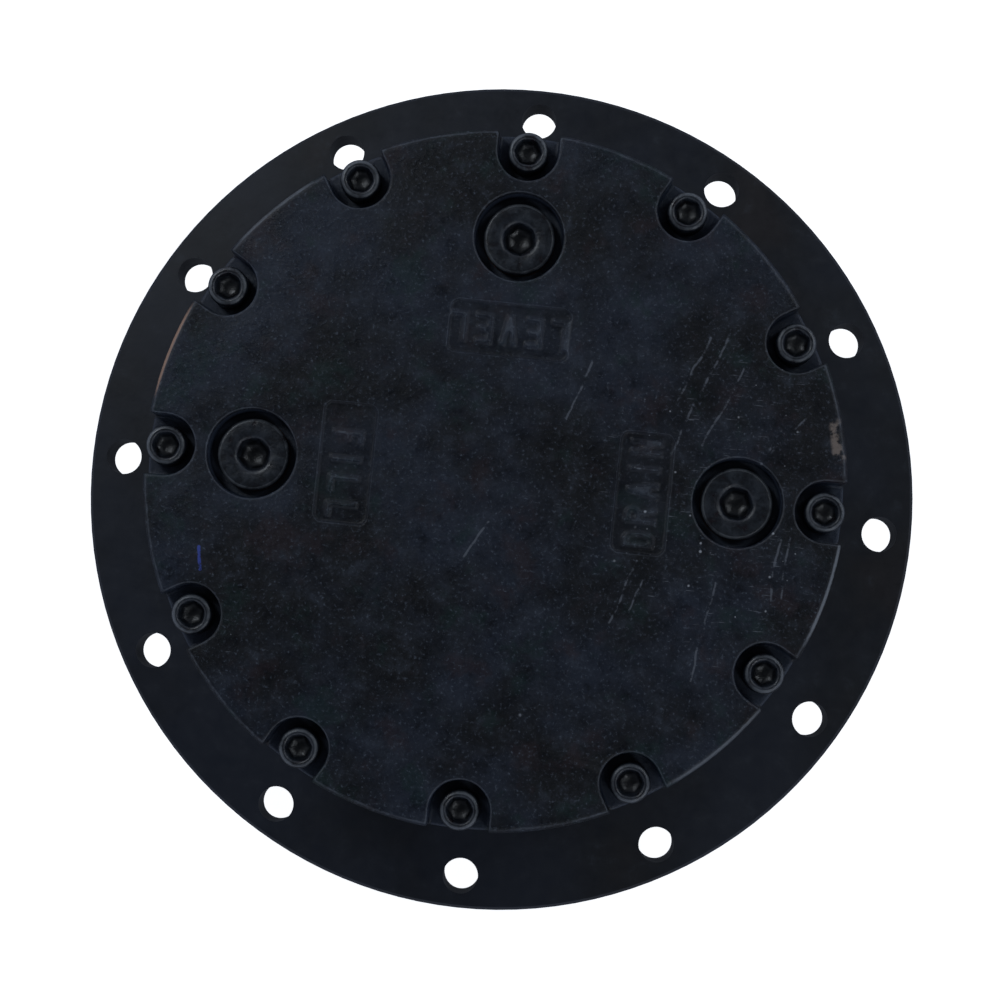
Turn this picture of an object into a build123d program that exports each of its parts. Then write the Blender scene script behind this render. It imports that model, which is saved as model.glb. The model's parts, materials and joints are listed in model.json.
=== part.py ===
"""Two-stage planetary track drive: a turning hub with a bolted sprocket flange, a ring gear and a cast cover
with three oil plugs, carried on a fixed spindle by two ball bearings, with the gear train inside.

Millimetres. +Z is the drive's axis and points out of the cover. The origin is the centre of the spindle's
mounting face, which bolts to the track frame. The level plug lies along +Y.
"""

import math
import os

from build123d import *

# ---------------------------------------------------------------- clearances
FIT = 0.05  # radial gap of a seated or pressed piece
RUN = 0.05  # radial gap of a shaft or pin running in its bore
SIDE = 0.15  # axial gap beside a washer or a running face
BALL_GAP = 0.3  # gap round a ball in its races and its cage
SPLINE_GAP = 0.08  # on each flank, tip and root of a splined joint
TOOTH_THINNING = 0.12  # taken off each flank of each tooth, for backlash

# ---------------------------------------------------------------- gear train
MODULE = 3.0
PRESSURE_ANGLE = math.radians(25)
ADDENDUM = 1.0  # in modules
DEDENDUM = 1.25  # in modules
FLANK_STEPS = 3
RING_TEETH = 84
SUN_1_TEETH = 12
PLANET_1_TEETH = 36
PLANETS_1 = 3
FIRST_PLANET_1 = math.radians(90)
SUN_2_TEETH = 24
PLANET_2_TEETH = 30
PLANETS_2 = 4
FIRST_PLANET_2 = 0.0
FACE_1 = 22.0  # first-stage face width
FACE_2 = 30.0
PIN_1_RADIUS = 16.0
PIN_2_RADIUS = 17.0
BUSH_WALL = 3.5
WASHER = 1.2
WASHER_GAP = WASHER + 2 * SIDE

# ---------------------------------------------------------------- radial chain, from the ring gear outwards
RING_PITCH = MODULE * RING_TEETH / 2
RING_TIP = RING_PITCH - ADDENDUM * MODULE
RING_ROOT = RING_PITCH + DEDENDUM * MODULE
REGISTER_RADIUS = RING_ROOT + 1.25  # the plain recess at each end of the ring gear
REGISTER_DEPTH = 5.0
RING_WALL = 26.25
DRUM_RADIUS = RING_ROOT + RING_WALL

HEAD_RADIUS = 9.0  # M12 socket head cap screw
HEAD_HEIGHT = 12.0
HEAD_SOCKET = 10.0  # across flats
HEAD_SOCKET_DEPTH = 6.0
HEAD_ROUND = 1.2
LEAD_IN = 0.8  # round the mouth of a hexagon socket
SCREW_RADIUS = 6.0
SCREW_HOLE = SCREW_RADIUS + 0.6
SCREWS = 12
SCREW_CIRCLE = DRUM_RADIUS - HEAD_RADIUS
THREAD_RADIUS = SCREW_RADIUS + FIT
THREAD_ENGAGED = 21.5  # of each cap screw in the hub

O_RING_SECTION = 1.2  # radius of the rubber's section
O_RING_RADIUS = (REGISTER_RADIUS + SCREW_CIRCLE - SCREW_HOLE) / 2

PILOT_STEP = 2.0
PILOT_RADIUS = DRUM_RADIUS + PILOT_STEP
PILOT_HEIGHT = 12.0
SPROCKET_LAND = 34.0  # from the drum to the sprocket's bolt circle
SPROCKET_CIRCLE = DRUM_RADIUS + SPROCKET_LAND
SPROCKET_HOLES = 12
SPROCKET_HOLE = 8.75  # M16 clearance
FLANGE_EDGE = 16.0
FLANGE_RADIUS = SPROCKET_CIRCLE + FLANGE_EDGE
FLANGE_THICKNESS = 22.0
FLANGE_CHAMFER = 1.5

# ---------------------------------------------------------------- radial chain, from the ring gear inwards
BALL_RADIUS = 10.0
RACE_WALL = 5.0  # under the ball
RACE_SHOULDER = 5.0  # from the ball circle to a ring's edge
BEARING_OUTER = RING_TIP - 3.0
BALL_CIRCLE = BEARING_OUTER - RACE_WALL - BALL_RADIUS
JOURNAL = BALL_CIRCLE - BALL_RADIUS - RACE_WALL
BALL_SPACE = 3.5  # between one ball and the next
BALLS = int(2 * math.pi * BALL_CIRCLE / (2 * BALL_RADIUS + BALL_SPACE))
CAGE_WALL = 3.0

SHOULDER = JOURNAL + 7.0
TORIC_SECTION = 4.9  # radius of the rubber's section
SEAL_WALL = 8.0
SEAL_SEAT = BEARING_OUTER + 1.0
SEAL_BODY = SEAL_SEAT - 2 * (TORIC_SECTION + 2 * FIT)
SEAL_BORE = SEAL_BODY - SEAL_WALL
TORIC_RADIUS = (SEAL_SEAT + SEAL_BODY) / 2
CUP_RADIUS = SEAL_SEAT + 7.0
SKIRT_BORE = CUP_RADIUS + 2.5
SKIRT_RADIUS = SKIRT_BORE + 12.5
FRAME_CIRCLE = CUP_RADIUS + 14.0
FRAME_HOLES = 12
FRAME_HOLE = 7.0  # M16 tapped
SPINDLE_RADIUS = FRAME_CIRCLE + 14.0
MOTOR_PILOT = 80.0
MOTOR_PILOT_DEPTH = 20.0
MOTOR_WELL = 62.0
SPINDLE_BORE = 40.0
MOTOR_CIRCLE = MOTOR_PILOT + 20.0
MOTOR_HOLES = 4
MOTOR_HOLE_DEPTH = 20.0

SHAFT_RADIUS = 13.0
SUN_2_BORE = SHAFT_RADIUS + 3.0
CARRIER_2_BORE = SHAFT_RADIUS + 4.0
PLANET_1_CIRCLE = MODULE * (SUN_1_TEETH + PLANET_1_TEETH) / 2
PLANET_2_CIRCLE = MODULE * (SUN_2_TEETH + PLANET_2_TEETH) / 2
SUN_2_TIP = MODULE * (SUN_2_TEETH / 2 + ADDENDUM)
CARRIER_1_RADIUS = PLANET_1_CIRCLE + PIN_1_RADIUS + 10.0
CARRIER_2_RADIUS = PLANET_2_CIRCLE + PIN_2_RADIUS + 10.0
CARRIER_SCREW_CIRCLE = (SPINDLE_BORE + JOURNAL) / 2
CARRIER_SCREW_TURN = 14.0  # degrees each side of the gap between two planets
LOW_HEAD_HEIGHT = 7.0

# ---------------------------------------------------------------- axial chain, from the frame upwards
SPINDLE_FLANGE = 24.0
CUP_HEIGHT = 12.5
SEAL_MOUTH = 1.4  # from the spindle's cup to the lapped faces
SEAL_SPACE = 2 * (CUP_HEIGHT + SEAL_MOUTH)
BEARING_WIDTH = 30.0
OUTER_RING_LAND = 3.0  # half of the hub's land between the two outer rings
CARRIER_2_THICKNESS = 16.0
PLATE_2_THICKNESS = 6.0
CARRIER_1_THICKNESS = 12.0

REAR_BEARING_Z = SPINDLE_FLANGE + SEAL_SPACE
FRONT_BEARING_Z = REAR_BEARING_Z + BEARING_WIDTH
CARRIER_2_Z = FRONT_BEARING_Z + BEARING_WIDTH
PLANET_2_Z = CARRIER_2_Z + CARRIER_2_THICKNESS + WASHER_GAP
PLATE_2_Z = PLANET_2_Z + FACE_2 + WASHER_GAP
CARRIER_1_Z = PLATE_2_Z + PLATE_2_THICKNESS + 2.0
PLANET_1_Z = CARRIER_1_Z + CARRIER_1_THICKNESS + WASHER_GAP
SNAP_RING_Z = PLANET_1_Z + FACE_1 + WASHER_GAP
SNAP_RING = 1.4
PIN_1_TOP = SNAP_RING_Z + SNAP_RING + 1.1

HUB_REAR_Z = SPINDLE_FLANGE + 3.0
HUB_TOP_Z = CARRIER_2_Z + 8.0
FLANGE_TOP_Z = HUB_TOP_Z - PILOT_HEIGHT - 6.0
FLANGE_Z = FLANGE_TOP_Z - FLANGE_THICKNESS
COVER_Z = PIN_1_TOP + 1.5
COVER_THICKNESS = 24.0
COVER_TOP_Z = COVER_Z + COVER_THICKNESS
COVER_CEILING_Z = COVER_Z + 4.0

# ---------------------------------------------------------------- cover features
RIM_ROUND = 2.5
POCKET_GAP = 4.5  # round a cap screw's head, for the key's socket
POCKET_RADIUS = HEAD_RADIUS + POCKET_GAP  # spot face, open at the rim
HEAD_SINK = 3.5  # head top below the cover's face
POCKET_Z = COVER_TOP_Z - HEAD_SINK - HEAD_HEIGHT
SCREW_LENGTH = POCKET_Z - HUB_TOP_Z + THREAD_ENGAGED
POCKET_EDGE = 0.8
PLUG_CIRCLE = 108.0
PLUG_RADIUS = 13.2  # G 3/4
PLUG_COLLAR = PLUG_RADIUS + 2.8
PLUG_COLLAR_HEIGHT = 5.0
COLLAR_CHAMFER = 1.2
PLUG_SINK = 6.0  # collar top below the cover's face
PLUG_SOCKET = 12.0  # across flats
PLUG_SOCKET_DEPTH = 8.0
PLUG_WASHER = 1.5
PLUG_BOSS_RADIUS = PLUG_RADIUS + 7.8
PLUG_WELL = PLUG_COLLAR + 3.75
PLUG_SEAT_Z = COVER_TOP_Z - PLUG_SINK - PLUG_COLLAR_HEIGHT - PLUG_WASHER
PAD_CIRCLE = 66.0
PAD_WIDTH = 54.0
PAD_HEIGHT = 24.0
PAD_CORNER = 4.0
PAD_DEPTH = 1.5
LETTER_HEIGHT = 13.5
LETTER_WIDTH = 7.0
LETTER_STROKE = 2.0
NARROW_LETTERS = {"I": 4.6, "F": 5.6}
LETTER_RAISE = 1.1
# word, direction of its plug in degrees, gap between letters, shift of the word along its pad
PORTS = (("LEVEL", 90, 4.2, 0.0), ("FILL", 180, 4.9, 5.0), ("DRAIN", 0, 3.8, 0.0))
BUTTON_RADIUS = 12.0
BUTTON_HEIGHT = 10.0

COUPLING_RADIUS = 24.0
COUPLING_Z = REAR_BEARING_Z - 5.0
COUPLING_LENGTH = 44.0
SPLINE_TEETH = 20
SPLINE_MODULE = SHAFT_RADIUS / (SPLINE_TEETH / 2 + ADDENDUM)
SHAFT_Z = COUPLING_Z + COUPLING_LENGTH / 2
DOWEL_RADIUS = 5.0
DOWEL_HALF = 10.0
DOWEL_TURN = 15.0  # degrees, midway between two cap screws


# ---------------------------------------------------------------- shapes used by several pieces
def tube(bore, radius, low, high):
    """A plain ring, or a disc where bore is 0."""
    section = Circle(radius) - Circle(bore) if bore else Circle(radius)
    return Pos(0, 0, low) * extrude(section, high - low)


def turned(*points):
    """A solid turned about Z from (radius, height) corners."""
    return revolve(Plane.XZ * make_face(Polyline(*points, close=True)), Axis.Z)


def torus(radius, section, z):
    return Pos(0, 0, z) * Torus(radius, section)


def on_circle(radius, count, z=0.0, first=0.0):
    """Places at equal steps round the axis, each turned to face outwards. first is in degrees."""
    return [Rot(0, 0, first + 360 * i / count) * Pos(radius, 0, z) for i in range(count)]


def copies(shape, places):
    """Separate solids, one at each place."""
    return Compound(children=[place * shape for place in places])


def drilled(shape, radius, places, low, high):
    """shape with a round hole at each place, between two heights above it."""
    return shape - [place * tube(0, radius, low, high) for place in places]


def involute(angle):
    return math.tan(angle) - angle


def outline(teeth, module, low, high, widening, turn):
    """The closed outline of a toothed wheel with a tooth centred at turn. widening is added to each flank."""
    pitch = module * teeth / 2
    base = pitch * math.cos(PRESSURE_ANGLE)
    at_pitch = (math.pi * module / 4 + widening) / pitch + involute(PRESSURE_ANGLE)
    flank = []
    for i in range(FLANK_STEPS + 1):
        radius = low + (high - low) * i / FLANK_STEPS
        flank.append((radius, at_pitch - involute(math.acos(base / max(radius, base)))))
    points = []
    for tooth in range(teeth):
        middle = turn + 2 * math.pi * tooth / teeth
        sides = [(r, middle - a) for r, a in flank] + [(r, middle + a) for r, a in reversed(flank)]
        points += [(r * math.cos(a), r * math.sin(a)) for r, a in sides]
    return make_face(Polyline(*points, close=True))


def wheel(teeth, module, bore, low, high, turn, growth=0.0):
    """A spur gear between two heights, with a plain bore. growth makes it a splined hole's cutter."""
    pitch = module * teeth / 2
    root, tip = pitch - DEDENDUM * module + growth, pitch + ADDENDUM * module + growth
    face = outline(teeth, module, root, tip, growth - TOOTH_THINNING, turn)
    if bore:
        face -= Circle(bore)
    return Pos(0, 0, low) * extrude(face, high - low)


def hexagon_socket(flats, depth, top):
    """The cut for a hexagon key, with a drilled point below it and a lead-in round its mouth."""
    corner = flats / math.sqrt(3)
    hexagon = Pos(0, 0, top - depth) * extrude(RegularPolygon(flats / 2, 6, major_radius=False), depth)
    lead_in = Pos(0, 0, top - LEAD_IN / 2) * Cone(corner - LEAD_IN / 2, corner + LEAD_IN / 2, LEAD_IN)
    point = Pos(0, 0, top - depth - flats / 8) * Cone(0, flats / 2 - FIT, flats / 4)
    return hexagon + lead_in + point


def planet_turn(direction, teeth):
    """How far a planet in that direction is turned to mesh with the ring gear, whose first tooth is on +X."""
    pitches = direction * RING_TEETH / (2 * math.pi) - 0.5
    return direction - pitches * 2 * math.pi / teeth


def sun_turn(direction, sun_teeth, planet_teeth):
    """How far a sun is turned to mesh with a planet in that direction."""
    pitches = direction * (sun_teeth + RING_TEETH) / (2 * math.pi) + planet_teeth / 2
    return (pitches % 1) * 2 * math.pi / sun_teeth


# ---------------------------------------------------------------- fixed side
def spindle():
    body = turned(
        (MOTOR_PILOT, 0),
        (SPINDLE_RADIUS, 0),
        (SPINDLE_RADIUS, SPINDLE_FLANGE),
        (CUP_RADIUS, SPINDLE_FLANGE),
        (CUP_RADIUS, SPINDLE_FLANGE + CUP_HEIGHT),
        (SEAL_SEAT, SPINDLE_FLANGE + CUP_HEIGHT),
        (SEAL_SEAT, SPINDLE_FLANGE),
        (SHOULDER, SPINDLE_FLANGE),
        (SHOULDER, REAR_BEARING_Z),
        (JOURNAL, REAR_BEARING_Z),
        (JOURNAL, CARRIER_2_Z),
        (SPINDLE_BORE, CARRIER_2_Z),
        (SPINDLE_BORE, REAR_BEARING_Z + 2 * BEARING_WIDTH / 3),
        (MOTOR_WELL, REAR_BEARING_Z + BEARING_WIDTH / 3),
        (MOTOR_WELL, MOTOR_PILOT_DEPTH),
        (MOTOR_PILOT, MOTOR_PILOT_DEPTH),
    )
    rim = body.edges().filter_by(GeomType.CIRCLE).filter_by(lambda e: e.radius > SPINDLE_RADIUS - FIT)
    body = chamfer(rim, FLANGE_CHAMFER)
    body = drilled(body, FRAME_HOLE, on_circle(FRAME_CIRCLE, FRAME_HOLES), 0, SPINDLE_FLANGE)
    body = drilled(body, FRAME_HOLE, on_circle(MOTOR_CIRCLE, MOTOR_HOLES, first=45), 0, MOTOR_HOLE_DEPTH)
    depth = CARRIER_2_Z - 22.0
    return drilled(body, THREAD_RADIUS, carrier_screw_places(), depth, CARRIER_2_Z)


def carrier_screw_places():
    """Two screws in each gap between second-stage planets."""
    gap = math.degrees(FIRST_PLANET_2) + 180 / PLANETS_2
    return [
        Rot(0, 0, side * CARRIER_SCREW_TURN) * place
        for place in on_circle(CARRIER_SCREW_CIRCLE, PLANETS_2, first=gap)
        for side in (-1, 1)
    ]


def planet_2_places(z=0.0):
    return on_circle(PLANET_2_CIRCLE, PLANETS_2, z, math.degrees(FIRST_PLANET_2))


def planet_1_places(z=0.0):
    return on_circle(PLANET_1_CIRCLE, PLANETS_1, z, math.degrees(FIRST_PLANET_1))


def inner_ring(z, width=BEARING_WIDTH):
    ring = tube(JOURNAL + FIT, BALL_CIRCLE - RACE_SHOULDER, z + FIT, z + width - FIT)
    return ring - torus(BALL_CIRCLE, BALL_RADIUS + BALL_GAP, z + width / 2)


def outer_ring(low, high, ball_z):
    ring = tube(BALL_CIRCLE + RACE_SHOULDER, BEARING_OUTER - FIT, low, high)
    return ring - torus(BALL_CIRCLE, BALL_RADIUS + BALL_GAP, ball_z)


def balls(z):
    return copies(Sphere(BALL_RADIUS), on_circle(BALL_CIRCLE, BALLS, z + BEARING_WIDTH / 2))


def cage(z):
    middle = z + BEARING_WIDTH / 2
    half = BALL_RADIUS + 2.5
    band = tube(BALL_CIRCLE - CAGE_WALL / 2, BALL_CIRCLE + CAGE_WALL / 2, middle - half, middle + half)
    pocket = Rot(0, 90, 0) * Cylinder(BALL_RADIUS + BALL_GAP, 4 * CAGE_WALL)
    return band - [place * pocket for place in on_circle(BALL_CIRCLE, BALLS, middle)]


def seal_ring(face_z, up):
    """A face-seal ring whose lapped face lies at face_z and whose body reaches away from it, up or down."""
    body, lip, length = SEAL_BODY, SEAL_BODY + 2.5, 10.8
    return turned(
        (SEAL_BORE, face_z),
        (lip, face_z),
        (lip, face_z + up * 2.5),
        (body, face_z + up * 3.5),
        (body, face_z + up * length),
        (SEAL_BORE, face_z + up * length),
    )


SEAL_FACE_Z = SPINDLE_FLANGE + CUP_HEIGHT + SEAL_MOUTH
TORIC_OFFSET = 3.7 + TORIC_SECTION  # from the lapped face to the middle of the toric ring


def carrier_2():
    low, high = CARRIER_2_Z, CARRIER_2_Z + CARRIER_2_THICKNESS
    body = tube(0, CARRIER_2_RADIUS, low + FIT, high) + tube(0, SPINDLE_BORE - FIT, low - 6.0, low + 1)
    body -= tube(0, CARRIER_2_BORE, low - 6.0, high)
    body = drilled(body, PIN_2_RADIUS + FIT, planet_2_places(), low, high)
    body = drilled(body, SCREW_HOLE, carrier_screw_places(), low, high)
    return drilled(body, HEAD_RADIUS + 0.5, carrier_screw_places(), high - LOW_HEAD_HEIGHT - 0.5, high)


def carrier_2_screws():
    seat = CARRIER_2_Z + CARRIER_2_THICKNESS - LOW_HEAD_HEIGHT - 0.5
    screw = tube(0, HEAD_RADIUS, seat, seat + LOW_HEAD_HEIGHT)
    screw += tube(0, SCREW_RADIUS, CARRIER_2_Z - 20.0, seat)
    screw -= hexagon_socket(HEAD_SOCKET, 4.0, seat + LOW_HEAD_HEIGHT)
    return copies(screw, carrier_screw_places())


def pins_2():
    top = PLATE_2_Z + FIT
    pin = tube(0, PIN_2_RADIUS, CARRIER_2_Z + 1.0, top) - tube(0, 4.0 + FIT, top - 18.0, top)
    return copies(pin, planet_2_places())


def plate_2():
    body = tube(SUN_2_TIP + 5.0, CARRIER_2_RADIUS, PLATE_2_Z + 2 * FIT, PLATE_2_Z + PLATE_2_THICKNESS)
    body = drilled(body, 4.4, planet_2_places(), PLATE_2_Z, PLATE_2_Z + PLATE_2_THICKNESS)
    top = PLATE_2_Z + PLATE_2_THICKNESS
    sink = Pos(0, 0, top - 2.0) * Cone(4.4, 8.4, 4.0)
    return body - [place * sink for place in planet_2_places()]


def plate_2_screws():
    top = PLATE_2_Z + PLATE_2_THICKNESS
    screw = tube(0, 4.0, top - 20.0, top - 4.0 + FIT) + Pos(0, 0, top - 2.1) * Cone(4.0, 8.0, 3.9)
    screw -= hexagon_socket(5.0, 2.5, top)
    return copies(screw, planet_2_places())


def washer_set(pin, face, places, z):
    """Thrust washers on both sides of each planet, whose lower faces are at z."""
    washer = tube(pin + 0.2, pin + BUSH_WALL + 6.0, 0, WASHER)
    pair = [Pos(0, 0, z - SIDE - WASHER) * washer, Pos(0, 0, z + face + SIDE) * washer]
    return Compound(children=[place * one for place in places for one in pair])


# ---------------------------------------------------------------- turning hub
def hub():
    rear_ring_z, front_ring_z = FRONT_BEARING_Z - OUTER_RING_LAND, FRONT_BEARING_Z + OUTER_RING_LAND
    skirt_z = SPINDLE_FLANGE + CUP_HEIGHT + 2.0
    body = turned(
        (SKIRT_BORE, HUB_REAR_Z),
        (SKIRT_RADIUS, HUB_REAR_Z),
        (SKIRT_RADIUS, FLANGE_Z),
        (FLANGE_RADIUS, FLANGE_Z),
        (FLANGE_RADIUS, FLANGE_TOP_Z),
        (PILOT_RADIUS, FLANGE_TOP_Z),
        (PILOT_RADIUS, FLANGE_TOP_Z + PILOT_HEIGHT),
        (DRUM_RADIUS, FLANGE_TOP_Z + PILOT_HEIGHT + PILOT_STEP),
        (DRUM_RADIUS, HUB_TOP_Z),
        (REGISTER_RADIUS - FIT, HUB_TOP_Z),
        (REGISTER_RADIUS - FIT, HUB_TOP_Z + REGISTER_DEPTH - 0.5),
        (BEARING_OUTER, HUB_TOP_Z + REGISTER_DEPTH - 0.5),
        (BEARING_OUTER, front_ring_z),
        (BEARING_OUTER - 6.0, front_ring_z),
        (BEARING_OUTER - 6.0, rear_ring_z),
        (BEARING_OUTER, rear_ring_z),
        (BEARING_OUTER, REAR_BEARING_Z),
        (SEAL_SEAT, REAR_BEARING_Z),
        (SEAL_SEAT, skirt_z),
        (SKIRT_BORE, skirt_z),
    )
    edges = body.edges().filter_by(GeomType.CIRCLE)
    body = chamfer(edges.filter_by(lambda e: e.radius > FLANGE_RADIUS - FIT), FLANGE_CHAMFER)
    root = body.edges().filter_by(GeomType.CIRCLE).filter_by(
        lambda e: abs(e.radius - SKIRT_RADIUS) < FIT and abs(e.center().Z - FLANGE_Z) < FIT
    )
    body = fillet(root, 10.0)
    body -= groove(HUB_TOP_Z, -1)
    body = drilled(body, SPROCKET_HOLE, on_circle(SPROCKET_CIRCLE, SPROCKET_HOLES), FLANGE_Z, FLANGE_TOP_Z)
    low = POCKET_Z - SCREW_LENGTH - 3.0
    body = drilled(body, THREAD_RADIUS, screw_places(), low, HUB_TOP_Z)
    return drilled(body, DOWEL_RADIUS + FIT, dowel_places(), HUB_TOP_Z - DOWEL_HALF - 1.0, HUB_TOP_Z)


def groove(face_z, way):
    """The O-ring groove cut into a joint face, up or down from it."""
    depth = 2 * O_RING_SECTION + FIT
    low, high = sorted((face_z, face_z + way * depth))
    return tube(O_RING_RADIUS - O_RING_SECTION - 0.4, O_RING_RADIUS + O_RING_SECTION + 0.4, low, high)


def screw_places():
    return on_circle(SCREW_CIRCLE, SCREWS)


def dowel_places():
    return on_circle(SCREW_CIRCLE, 2, first=DOWEL_TURN)


def ring_gear():
    turn = math.pi / RING_TEETH
    space = outline(RING_TEETH, MODULE, RING_TIP, RING_ROOT, TOOTH_THINNING, turn)
    low, high = HUB_TOP_Z, COVER_Z
    body = Pos(0, 0, low) * extrude(Circle(DRUM_RADIUS) - space, high - low)
    body -= tube(0, REGISTER_RADIUS, low, low + REGISTER_DEPTH)
    body -= tube(0, REGISTER_RADIUS, high - REGISTER_DEPTH, high)
    body = drilled(body, SCREW_HOLE, screw_places(), low, high)
    body = drilled(body, DOWEL_RADIUS + FIT, dowel_places(), low, low + DOWEL_HALF + 1.0)
    return drilled(body, DOWEL_RADIUS + FIT, dowel_places(), high - DOWEL_HALF - 1.0, high)


def dowels(z):
    return copies(tube(0, DOWEL_RADIUS, z - DOWEL_HALF, z + DOWEL_HALF), dowel_places())


def bar(x0, y0, x1, y1, stroke=LETTER_STROKE):
    """A straight stroke between two points of a letter's cell."""
    length = math.hypot(x1 - x0, y1 - y0)
    turn = math.degrees(math.atan2(y1 - y0, x1 - x0))
    return Pos((x0 + x1) / 2, (y0 + y1) / 2) * Rot(0, 0, turn) * Rectangle(length, stroke)


def letter(name):
    """A block capital, centred on the origin, built from straight strokes and one bow."""
    w = NARROW_LETTERS.get(name, LETTER_WIDTH) / 2
    h, s = LETTER_HEIGHT / 2, LETTER_STROKE / 2
    stem = bar(-w + s, -h, -w + s, h)
    foot, middle, top = bar(-w, -h + s, w, -h + s), bar(-w, 0, w - 1, 0), bar(-w, h - s, w, h - s)
    bow = Ellipse(w, h) - Ellipse(w - 2 * s, h - 2 * s)
    if name == "L":
        return stem + foot
    if name == "F":
        return stem + top + middle
    if name == "E":
        return stem + top + middle + foot
    if name == "I":
        return bar(0, -h, 0, h)
    if name == "V":
        return bar(-w + s, h, 0, -h) + bar(w - s, h, 0, -h)
    if name == "A":
        return bar(-w + s, -h, 0, h) + bar(w - s, -h, 0, h) + bar(-w / 2, -h / 3, w / 2, -h / 3)
    if name == "N":
        return stem + bar(w - s, -h, w - s, h) + bar(-w + s, h, w - s, -h)
    round_side = bar(0, h - s, -w, h - s) + stem
    if name == "D":
        right = Pos(w / 2, 0) * Rectangle(w, 2 * h)
        return round_side + bar(-w, -h + s, 0, -h + s) + (bow & right)
    if name == "R":
        loop = Pos(w - h / 2, h / 2) * (Circle(h / 2) - Circle(h / 2 - 2 * s))
        right = Pos(w, h / 2) * Rectangle(h, h)
        arms = bar(-w, h - s, w - h / 2, h - s) + bar(-w, s, w - h / 2, s)
        return stem + arms + (loop & right) + bar(0, s, w - s, -h)
    raise ValueError(name)


def word(text, gap, shift):
    """The letters of a word side by side, its middle moved along by shift."""
    cells = [NARROW_LETTERS.get(name, LETTER_WIDTH) for name in text]
    x = shift - (sum(cells) + gap * (len(cells) - 1)) / 2
    letters = []
    for name, cell in zip(text, cells):
        letters.append(Pos(x + cell / 2, 0) * letter(name))
        x += cell + gap
    return letters


def label(text, direction, gap, shift):
    """The sunk pad's cut and the raised word in it. The word's foot points to the plug."""
    floor = COVER_TOP_Z - PAD_DEPTH
    place = Rot(0, 0, direction + 90) * Pos(0, -PAD_CIRCLE, 0)
    pad = place * Pos(0, 0, floor) * extrude(RectangleRounded(PAD_WIDTH, PAD_HEIGHT, PAD_CORNER), PAD_DEPTH)
    raised = [place * Pos(0, 0, floor - FIT) * extrude(glyph, LETTER_RAISE + FIT) for glyph in word(text, gap, shift)]
    return pad, raised


def pocket():
    """The cut for one cap screw: a spot face with a bevelled edge, open at the rim."""
    reach = HEAD_RADIUS + 5.0
    depth = COVER_TOP_Z - POCKET_Z
    low = Circle(POCKET_RADIUS) + Pos(reach / 2, 0) * Rectangle(reach, 2 * POCKET_RADIUS)
    cut = Pos(0, 0, POCKET_Z) * extrude(low, depth)
    cone = Pos(0, 0, COVER_TOP_Z - POCKET_EDGE / 2) * Cone(POCKET_RADIUS, POCKET_RADIUS + POCKET_EDGE, POCKET_EDGE)
    wide = Polyline(
        (-POCKET_RADIUS, COVER_TOP_Z - POCKET_EDGE),
        (POCKET_RADIUS, COVER_TOP_Z - POCKET_EDGE),
        (POCKET_RADIUS + POCKET_EDGE, COVER_TOP_Z),
        (-POCKET_RADIUS - POCKET_EDGE, COVER_TOP_Z),
        close=True,
    )
    return cut + cone + extrude(Plane.YZ * make_face(wide), reach)


def cover():
    body = tube(0, DRUM_RADIUS, COVER_Z, COVER_TOP_Z)
    top = body.edges().filter_by(GeomType.CIRCLE).sort_by(Axis.Z)[-1:]
    body = fillet(top, RIM_ROUND)
    register = REGISTER_DEPTH - 0.5
    body += tube(REGISTER_RADIUS - 7.0, REGISTER_RADIUS - FIT, COVER_Z - register, COVER_Z + 1.0)
    body -= tube(0, REGISTER_RADIUS - 7.0, COVER_Z, COVER_CEILING_Z)
    plug_places = [Rot(0, 0, turn) * Pos(PLUG_CIRCLE, 0, 0) for _, turn, *_ in PORTS]
    for place in plug_places:
        body += place * tube(0, min(PLUG_BOSS_RADIUS, REGISTER_RADIUS - PLUG_CIRCLE), COVER_Z, PLUG_SEAT_Z)
    body += tube(0, BUTTON_RADIUS + 8.0, COVER_CEILING_Z - 3.0, COVER_CEILING_Z + 1.0)
    body = drilled(body, BUTTON_RADIUS / 2 + FIT, [Pos(0, 0, 0)], COVER_CEILING_Z - 3.0, COVER_CEILING_Z + 6.0)
    body = drilled(body, PLUG_RADIUS + FIT, plug_places, COVER_Z, PLUG_SEAT_Z)
    body = drilled(body, PLUG_WELL, plug_places, PLUG_SEAT_Z, COVER_TOP_Z)
    bevel = Pos(0, 0, COVER_TOP_Z - POCKET_EDGE / 2) * Cone(PLUG_WELL, PLUG_WELL + POCKET_EDGE, POCKET_EDGE)
    body -= [place * bevel for place in plug_places]
    body = drilled(body, SCREW_HOLE, screw_places(), COVER_Z, POCKET_Z)
    body -= [place * pocket() for place in screw_places()]
    body = drilled(body, DOWEL_RADIUS + FIT, dowel_places(), COVER_Z, COVER_Z + DOWEL_HALF + 1.0)
    body -= groove(COVER_Z, 1)
    for port in PORTS:
        pad, raised = label(*port)
        body -= pad
        body += raised
    return body


def cover_screws():
    head = tube(0, HEAD_RADIUS, POCKET_Z, POCKET_Z + HEAD_HEIGHT)
    head = fillet(head.edges().filter_by(GeomType.CIRCLE).sort_by(Axis.Z)[-1:], HEAD_ROUND)
    screw = head + tube(0, SCREW_RADIUS, POCKET_Z - SCREW_LENGTH, POCKET_Z)
    screw -= hexagon_socket(HEAD_SOCKET, HEAD_SOCKET_DEPTH, POCKET_Z + HEAD_HEIGHT)
    return copies(screw, screw_places())


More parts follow.
